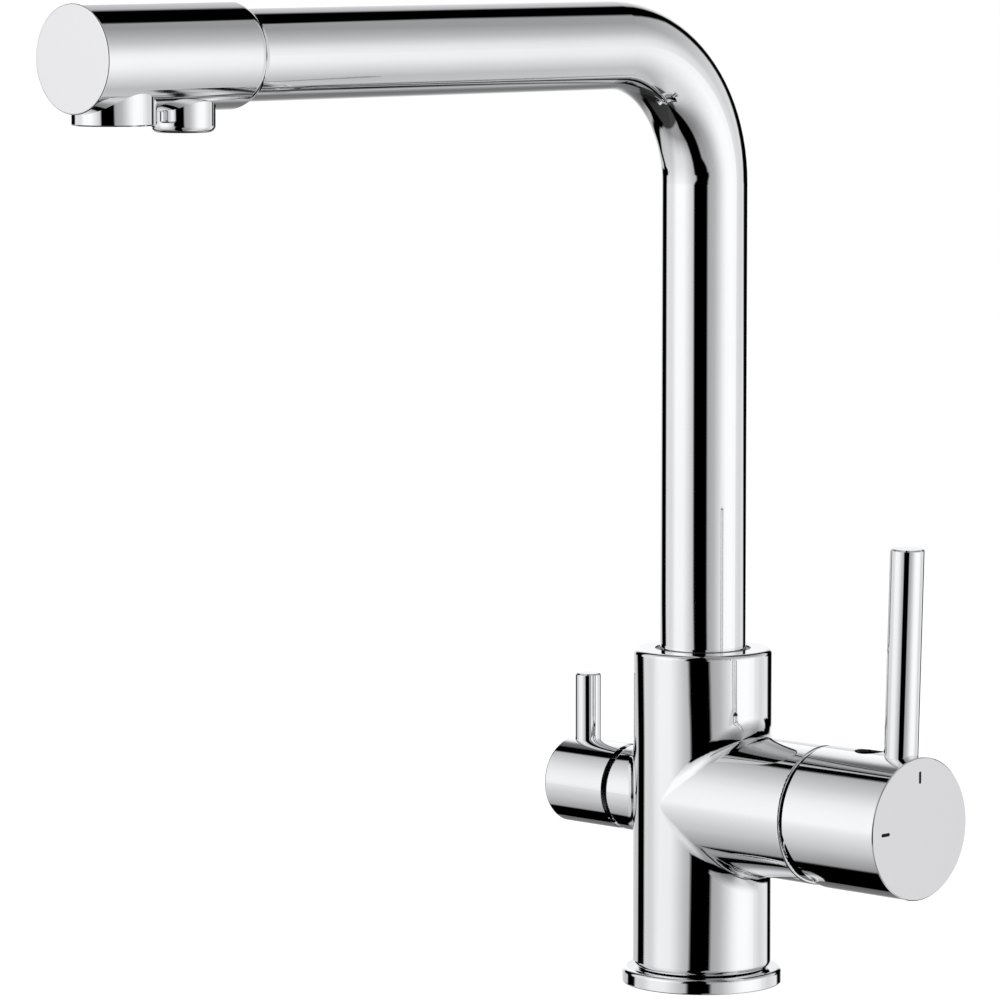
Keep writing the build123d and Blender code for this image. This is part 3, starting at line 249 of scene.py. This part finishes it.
front_narrows, narrows_from, narrows_to = 9, 14, 26    # degrees, and the depths over which it does so
left_fades_from, left_fades_to = -55, -50              # heights between which the left card fades in

narrowing = front_narrows * g.smooth(-rise, narrows_from, narrows_to)
front_card = g.band(compass, front_start, front_end - narrowing, soft=6)
right_card = g.band(compass, right_start, right_end, soft=8)
left_card = g.band(compass, left_start, left_end, soft=6) * g.smooth(rise, left_fades_from, left_fades_to)
print("nodes after the cards:", len(g.tree.nodes))

# %% [markdown]
# Two more things are dark. A grey card hangs high behind the left side, and the deck that such a tap
# stands on shows as a round patch, below and behind: a dot product with the direction of its middle is
# the cosine of the angle from there, and a soft step of that cosine is a disc. Where cards overlap, each
# takes its share of what the others leave.

# %% A grey card and the dark deck
grey_card_takes = 0.72                      # share of the light behind it
grey_starts, grey_ends = -164, -138         # bearings
grey_fades_from, grey_fades_to = 20, 40     # heights between which it fades in
grey_card = grey_card_takes * g.band(compass, grey_starts, grey_ends, soft=12) \
    * g.smooth(rise, grey_fades_from, grey_fades_to)

deck_right, deck_near, deck_up = -0.146, -0.253, -0.956    # towards bearing -150 and height -73 degrees
deck_outside, deck_inside = 0.86, 0.89      # cosines of the angle from there at the rim of the patch
deck_takes = 0.83
towards_deck = deck_right * rightwards + deck_near * nearwards + deck_up * up
deck = deck_takes * g.smooth(towards_deck, deck_outside, deck_inside)
cards = 1 - (1 - front_card) * (1 - right_card) * (1 - left_card) * (1 - grey_card) * (1 - deck)
print("the deck's patch is", round(2 * degrees(acos(deck_inside))), "degrees wide")

# %% [markdown]
# The product of cloth, walls and what the cards leave is the light from each direction. The camera
# doesn't see the tent: the Light Path node tells its rays from the others and gives it plain white, as in
# the photograph.

# %% The tent for the metal, white for the camera
tent_brightness = 1.10
cool = 1.012                # how much stronger blue is than red and green in the cool whites of the scene
tent_light = tent_brightness * cloth * walls * foot * (1 - cards)
tent_colour = g.node("ShaderNodeCombineColor", None,
                     {"Red": tent_light, "Green": tent_light, "Blue": tent_light * cool})
seen_directly = g.node("ShaderNodeLightPath", out="Is Camera Ray")
backdrop = g.blend(seen_directly, tent_colour, grey(1))
background = g.node("ShaderNodeBackground", None, {"Color": backdrop, "Strength": 1.0})
g.node("ShaderNodeOutputWorld", None, {"Surface": background})
print("nodes in the tent:", len(g.tree.nodes))

# %% [markdown]
# ## Floor and a soft lamp
#
# The floor is plain and pale. To the camera it glows almost white and adds the light that falls on it, so
# it shows white with the tap's faint shadow; everything else sees plain pale paper. Mirror-like pieces
# don't see it at all, because the tent is already what they reflect.

# %% Floor
floor_half = 12                                 # metres from the tap to each side
lit_grey, glow_strength = 0.30, 0.90            # for the camera
paper_grey = 0.80                               # for everything else

floor_mesh = bpy.data.meshes.new("floor")
floor_mesh.from_pydata([(-floor_half, -floor_half, 0), (floor_half, -floor_half, 0),
                        (floor_half, floor_half, 0), (-floor_half, floor_half, 0)], [], [(0, 1, 2, 3)])
floor = bpy.data.objects.new("floor", floor_mesh)
bpy.context.scene.collection.objects.link(floor)
floor.visible_glossy = False

floor_paper = bpy.data.materials.new("floor_paper")
floor_paper.use_nodes = True
g = Graph(floor_paper.node_tree)
lit = g.node("ShaderNodeBsdfDiffuse", None, {"Color": grey(lit_grey)})
glow = g.node("ShaderNodeEmission", None, {"Color": grey(1), "Strength": glow_strength})
seen = g.node("ShaderNodeAddShader", None, {0: lit, 1: glow})
plain = g.node("ShaderNodeBsdfDiffuse", None, {"Color": grey(paper_grey)})
seen_directly = g.node("ShaderNodeLightPath", out="Is Camera Ray")
paper = g.node("ShaderNodeMixShader", None, {0: seen_directly, 1: plain, 2: seen})
g.node("ShaderNodeOutputMaterial", None, {"Surface": paper})
floor_mesh.materials.append(floor_paper)
print("floor:", 2 * floor_half, "metres square")

# %% [markdown]
# The tent lights the floor from all round and leaves hardly any shadow. A wide lamp overhead makes it a
# little deeper and keeps its edge soft. The chrome doesn't mirror the lamp, for the same reason as the
# floor.

# %% Overhead lamp
lamp_side = 1.4             # metres
lamp_power = 9              # watts
lamp_place = (0, -0.1, 1.3)

lamp = bpy.data.objects.new("overhead", bpy.data.lights.new("overhead", "AREA"))
lamp.data.shape = "SQUARE"
lamp.data.size = lamp_side
lamp.data.energy = lamp_power
lamp.location = lamp_place
lamp.visible_glossy = False
bpy.context.scene.collection.objects.link(lamp)
print("lamp:", lamp_power, "watts at", lamp_place)

# %% [markdown]
# ## Finishes
#
# Every finish has the same skeleton: a base colour with a slow, faint variation, a roughness that a
# second, finer noise moves, and a bump so small that it only bends reflections. What makes them different
# is their numbers, and those come from the process: a cast and plated body is a little wavy, a drawn tube
# is truer, a turned face has rings, a moulded seal is dull.

# %% The skeleton that every finish uses
millimetre, micron = 0.001, 0.000001    # in metres
finer = 9                   # the noise of the roughness has this many times the cycles of the colour's
finishes = {}               # the material of every finish, by its name


def finish(name, dark, light, cloud, rough, rough_swing, metallic=0.0, bump=None, **fixed):
    """A material whose colour runs from dark to light with a noise of cloud cycles per metre.

    The roughness swings about rough, by rough_swing from end to end. bump is (cycles per metre, height in
    metres), or None for a surface whose bump is added elsewhere. Other sockets take the fixed values.
    Returns the graph, the place on the surface as a signal, and the shader's node.
    """
    material = finishes[name] = bpy.data.materials.new(name)
    material.use_nodes = True
    g = Graph(material.node_tree)
    where = g.node("ShaderNodeTexCoord", out="Object")
    slow = g.noise(where, cloud)
    fine = g.noise(where, cloud * finer, detail=4)
    sockets = {"Base Color": g.blend(slow, (*dark, 1), (*light, 1)),
               "Roughness": rough + rough_swing * (fine - 0.5),
               "Metallic": metallic, **fixed}
    if bump:
        cycles, tall = bump
        wave = g.noise(where, cycles, detail=1)
        sockets["Normal"] = g.node("ShaderNodeBump", None,
                                   {"Height": wave, "Distance": tall, "Strength": 1.0})
    shader = g.node("ShaderNodeBsdfPrincipled", None, sockets)
    g.node("ShaderNodeOutputMaterial", None, {"Surface": shader})
    return g, where, shader.socket.node


print("finer noise:", finer, "times the cycles of the slow one")

# %% [markdown]
# Chrome plate is a blue-white mirror that reflects about nine tenths of the light. On the cast body the
# polisher leaves slow waves, which make the edge of a black card wander a little; the drawn tube and the
# turned pieces have hardly any.

# %% Chrome on castings, tubes and turned pieces
plate = {"dark": (0.86, 0.865, 0.875), "light": (0.93, 0.935, 0.945), "metallic": 1.0}
turned = {"cloud": 30, "rough": 0.04, "rough_swing": 0.02, **plate}
finish("cast_chrome", cloud=25, rough=0.035, rough_swing=0.02, bump=(60, 12 * micron), **plate)
finish("tube_chrome", cloud=18, rough=0.035, rough_swing=0.015, bump=(35, 6 * micron), **plate)
finish("turned_chrome", bump=(80, 5 * micron), **turned)
print("finishes so far:", list(finishes))

# %% [markdown]
# The handle's end face and the head's end cap are turned flat and brushed before plating. They look pale
# and even instead of mirroring one sharp picture. Their rings are a bump that follows the distance from
# the axis: a sine of that distance, one cycle every two thirds of a millimetre. Inside the handle's skin,
# a round column over the handle's fixing screw is painted dark: painted shade in the screw's well.

# %% Satin faces for the two end discs
ring_pitch, ring_height = 0.66 * millimetre, 0.6 * micron
grain_cycles, grain_swing = 900, 0.05      # the brushing: cycles per metre, and what it adds in roughness
face_margin = 0.05 * millimetre            # the face starts this far before the end of the piece
well_shade_grey = 0.03                           # grey painted inside the screw's well: painted shade


def satin_face(name, along, centre, reach, rough_face, face_grey_and_painted_shade, well=None):
    """Turned, satin chrome beyond reach along an axis (0 for X, 1 for Y), polished chrome before it.

    centre is the axis, as its place on the other level axis and its height. well is the middle of a round
    hole down from the top as a place along X, its radius, and the radius of the piece's skin; inside the
    skin the hole's colour is painted dark, as painted shade.
    """
    g, where, shader = finish(name, **turned)
    spot = g.split(where)
    across, height_up = spot[1 - along] - centre[0], spot[2] - centre[1]
    from_axis = (across * across + height_up * height_up) ** 0.5
    rings = from_axis.math("SINE", from_axis * (2 * pi / ring_pitch))
    on_face = spot[along] > reach if reach > 0 else spot[along] < reach
    grain = g.noise(where, grain_cycles, detail=3)
    g.join(turned["rough"] + on_face * (rough_face + grain_swing * grain), shader, "Roughness")
    bump = g.node("ShaderNodeBump", None,
                  {"Height": rings * on_face, "Distance": ring_height, "Strength": 1.0})
    g.join(bump, shader, "Normal")
    polished = Signal(g, shader.inputs["Base Color"].links[0].from_socket)
    # The satin face's grey; on the handle's disc it is lowered as painted shade.
    colour = g.blend(on_face, polished, (face_grey_and_painted_shade, face_grey_and_painted_shade, face_grey_and_painted_shade * cool, 1))
    # Painted shade: a round column over the screw, inside the handle's skin, is painted dark grey.
    if well:
        well_x, well_radius, skin = well
        off_x = spot[0] - well_x
        from_well = (off_x * off_x + across * across) ** 0.5
        well_shade_mask = (from_well < well_radius) * (from_axis < skin) * (height_up > 0)
        colour = g.blend(well_shade_mask, colour, grey(well_shade_grey))
    g.join(colour, shader, "Base Color")


print("rings every", ring_pitch / millimetre, "mm")

# %% [markdown]
# Where the faces and the well are is read from the boxes of the pieces, so the finishes follow the CAD
# when it changes. The handle's disc faces away from the bright cloth and shows greyer than the cap of
# the spout's head, so its plate is painted a darker grey: painted shade in its colour.

# %% The handle's disc and the cap of the head
handle_low, handle_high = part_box("handle_shell")
cap_low, cap_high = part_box("spout_end_cap")
screw_low, screw_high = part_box("handle_screw")
handle_axis = (0.0, (handle_low.z + handle_high.z) / 2)
cap_axis = (0.0, (cap_low.z + cap_high.z) / 2)
unshaded_skin = 0.12 * millimetre            # the outermost layer, kept out of the well's painted shade right up to its rim
well_radius = 5.3 * millimetre
handle_skin = (handle_high.z - handle_low.z) / 2 - unshaded_skin
screw_well = ((screw_low.x + screw_high.x) / 2, well_radius, handle_skin)
# The handle's lower face grey is painted shade; the cap's is close to the plate's own grey.
satin_face("handle_chrome", along=0, centre=handle_axis, reach=handle_high.x - face_margin,
           rough_face=0.16, face_grey_and_painted_shade=0.765, well=screw_well)
satin_face("cap_chrome", along=1, centre=cap_axis, reach=cap_low.y + face_margin,
           rough_face=0.22, face_grey_and_painted_shade=0.95)
print("screw well at x", round(screw_well[0], 4), "inside the radius", round(handle_skin, 4))

# %% [markdown]
# Inside, nothing is plated in chrome. Brass is machined and keeps its tool marks, the screws and clips are
# stainless steel, and the handle's own screw is blackened. The filter valve's body is nickel, darkened well
# below that metal's own grey as painted shade, so that the gap round it between knob and body reads black.
# The discs are lapped ceramic, and the seals are black rubber with the dull, slightly dusty look of a
# moulded ring.

# %% Metals, ceramic, rubber, plastics and enamel
finish("brass", (0.62, 0.44, 0.20), (0.78, 0.58, 0.30), cloud=60, rough=0.30, rough_swing=0.16,
       metallic=1.0, bump=(1400, 10 * micron))
# Painted shade: this nickel is darkened well below the metal's own grey, so the gap round the filter valve
# reads black.
finish("nickel", (0.20, 0.19, 0.18), (0.30, 0.29, 0.27), cloud=70, rough=0.24, rough_swing=0.12,
       metallic=1.0, bump=(1500, 8 * micron))
finish("steel", (0.46, 0.46, 0.47), (0.62, 0.62, 0.63), cloud=80, rough=0.28, rough_swing=0.12,
       metallic=1.0, bump=(1800, 8 * micron))
finish("blackened_steel", (0.012, 0.012, 0.013), (0.03, 0.03, 0.03), cloud=90, rough=0.35, rough_swing=0.10,
       bump=(1500, 8 * micron))
finish("ceramic", (0.82, 0.80, 0.75), (0.92, 0.91, 0.87), cloud=120, rough=0.18, rough_swing=0.08,
       bump=(2200, 4 * micron))
finish("rubber", (0.012, 0.012, 0.013), (0.03, 0.03, 0.032), cloud=150, rough=0.62, rough_swing=0.18,
       bump=(1600, 20 * micron))
finish("white_plastic", (0.74, 0.74, 0.71), (0.84, 0.84, 0.82), cloud=90, rough=0.42, rough_swing=0.12,
       bump=(1300, 12 * micron))
finish("grey_plastic", (0.30, 0.31, 0.33), (0.42, 0.43, 0.45), cloud=90, rough=0.45, rough_swing=0.14,
       bump=(1300, 12 * micron))
finish("hose_plastic", (0.10, 0.22, 0.55), (0.16, 0.32, 0.70), cloud=70, rough=0.38, rough_swing=0.10,
       bump=(900, 10 * micron))
finish("black_plastic", (0.008, 0.008, 0.008), (0.02, 0.02, 0.021), cloud=150, rough=0.30, rough_swing=0.12,
       bump=(1200, 10 * micron))
finish("black_enamel", (0.002, 0.002, 0.002), (0.006, 0.006, 0.006), cloud=200, rough=0.55, rough_swing=0.10,
       bump=(1500, 5 * micron), **{"Specular IOR Level": 0.15})
print("finishes:", len(finishes))

# %% [markdown]
# ## Dressing the pieces
#
# The pieces themselves stay exactly as the CAD made them. A table says which finish each one gets, and a
# last line compares it with the frame, so that no piece is forgotten.

# %% Dress every node
dress = {
    "cast_chrome": ["body_casting"],
    "tube_chrome": ["spout_tube", "handle_lever", "filter_knob_lever"],
    "turned_chrome": ["base_ring", "spout_head", "aerator_housing", "cartridge_collar", "filter_knob"],
    "handle_chrome": ["handle_shell"],
    "cap_chrome": ["spout_end_cap"],
    "brass": ["filter_nipple", "spout_adaptor", "filter_outlet_elbow", "cartridge_nut", "cartridge_stem",
              "filter_spindle"],
    "nickel": ["filter_valve_body"],
    "steel": ["spout_retaining_screw", "lever_pivot_pin", "filter_circlip", "filter_knob_screw"],
    "blackened_steel": ["handle_screw"],
    "ceramic": ["cartridge_fixed_disc", "cartridge_moving_disc", "filter_seat_disc", "filter_moving_disc"],
    "rubber": ["base_gasket", "filter_nipple_seal", "spout_seals", "aerator_seal", "filter_outlet_seal",
               "cartridge_port_seals", "filter_seat_seal", "filter_spindle_seal"],
    "white_plastic": ["spout_thrust_washer", "cartridge_base", "cartridge_housing"],
    "grey_plastic": ["aerator_insert", "filter_outlet_straightener", "cartridge_turret", "disc_carrier"],
    "hose_plastic": ["filter_line"],
    "black_plastic": ["spout_glide_ring"],
    "black_enamel": ["handle_index_marks"],
}
for finish_name, names in dress.items():
    for name in names:
        nodes[name].data.materials.clear()
        nodes[name].data.materials.append(finishes[finish_name])
dressed = {name for names in dress.values() for name in names}
print("dressed", len(dressed), "nodes, left bare:", sorted(set(nodes) - dressed))

# %% [markdown]
# ## Colours as written
#
# The Standard view transform shows a colour as it is written.

bpy.context.scene.view_settings.view_transform = "Standard"
